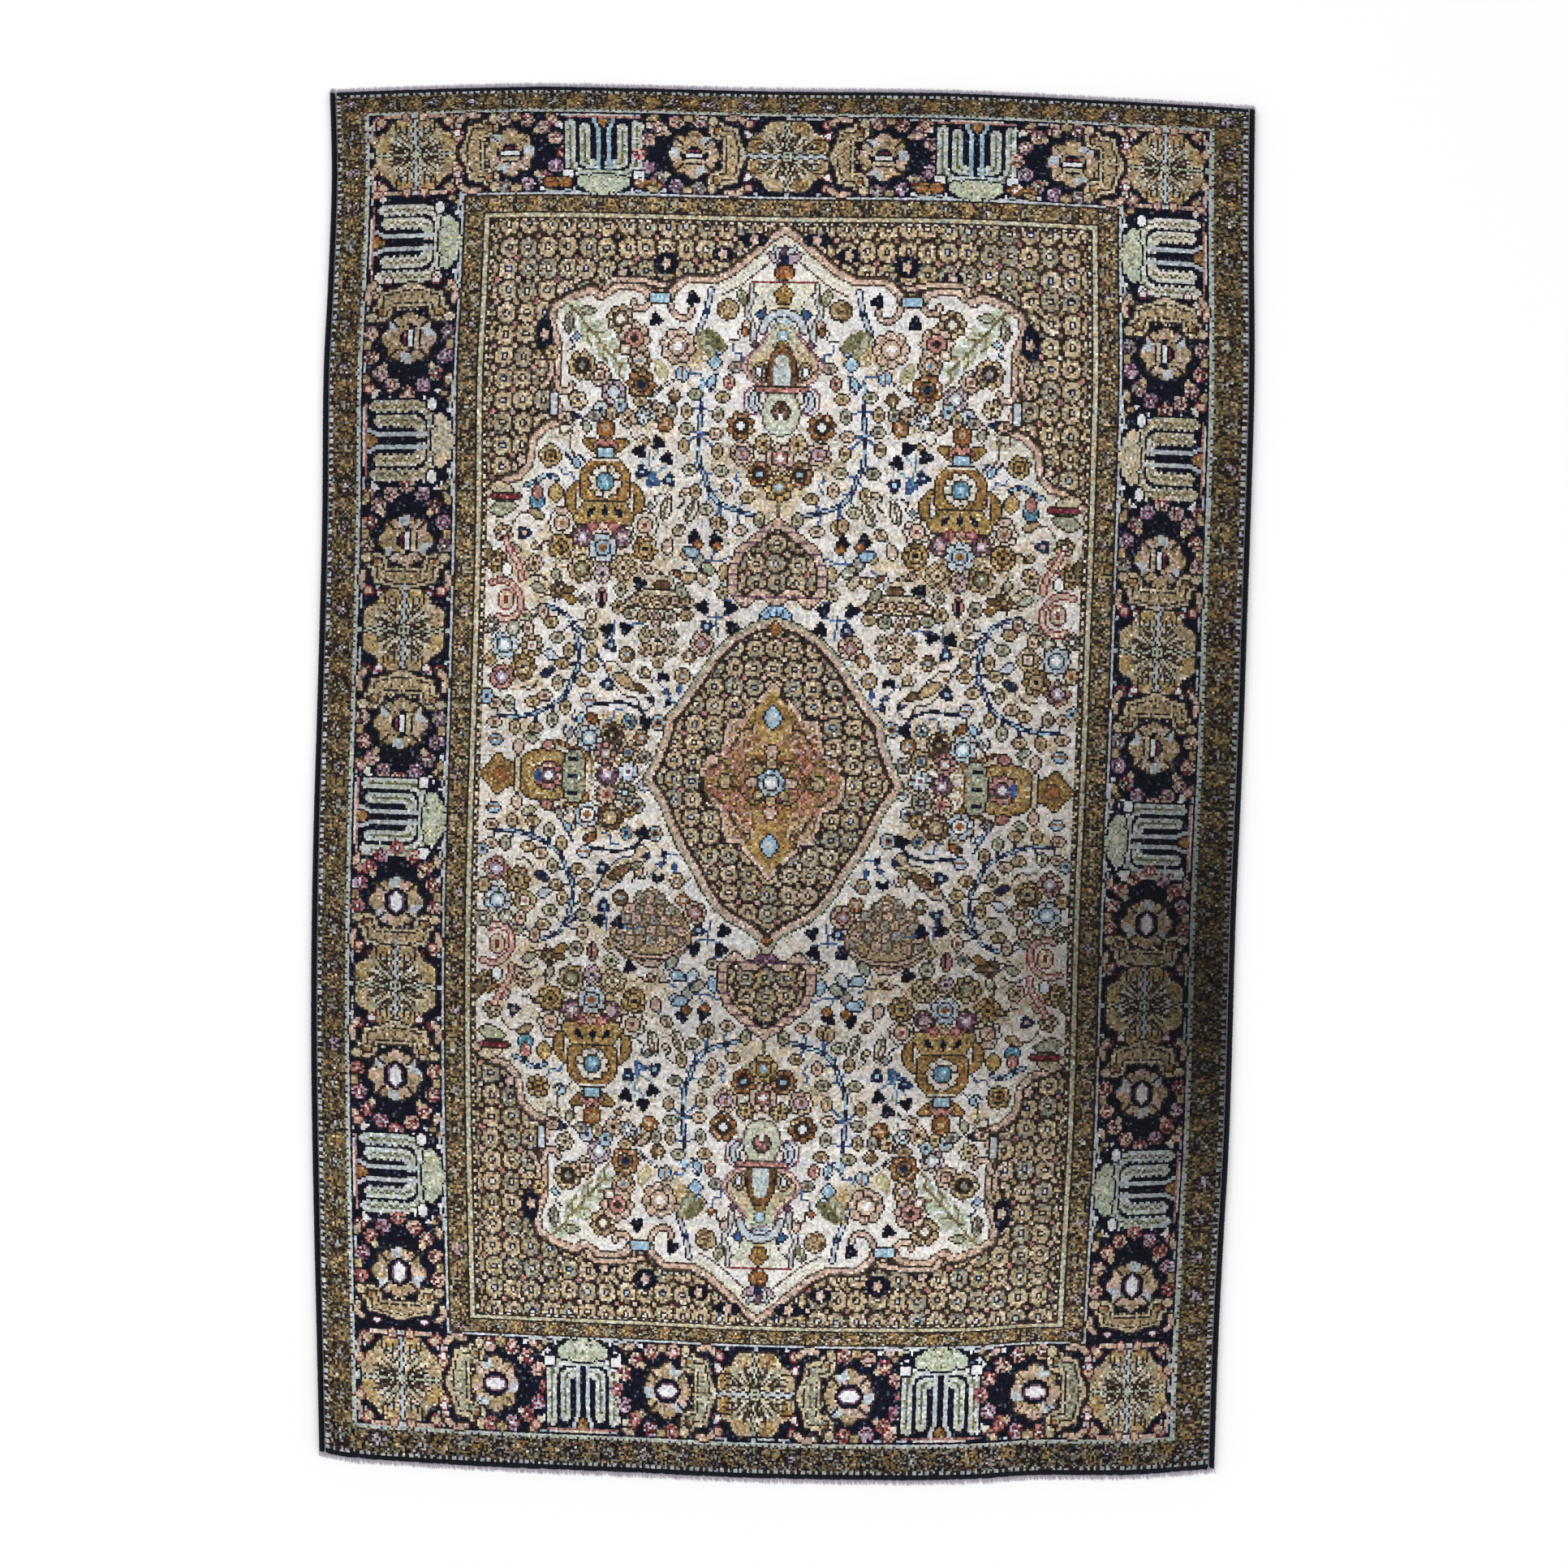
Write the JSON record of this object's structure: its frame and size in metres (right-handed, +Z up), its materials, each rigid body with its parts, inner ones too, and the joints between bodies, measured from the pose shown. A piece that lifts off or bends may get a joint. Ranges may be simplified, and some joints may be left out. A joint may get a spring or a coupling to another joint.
{
  "type": "kashmir silk rug",
  "caption": "Oblong hand-knotted silk pile rug with overcast side cords, thin woven end bands and short warp fringes, lying flat.",
  "frame": {"origin": "under the middle of the rug, on the surface that it lies on", "axes": "+Y along the warp towards the upper end of the pattern, +X across to the right, +Z up out of the pile"},
  "size_m": [0.6214, 0.9232, 0.005],
  "materials": {
    "silk_pile": "clipped silk pile in many colours with a soft sheen",
    "navy_binding": "tightly wound navy-black yarn",
    "warp_fringe": "matt twisted warp yarn"
  },
  "bodies": {
    "root": {"rug_body": "silk_pile", "selvedge_left": "navy_binding", "selvedge_right": "navy_binding", "fringe_top": "warp_fringe", "fringe_bottom": "warp_fringe"}
  },
  "joints": []
}
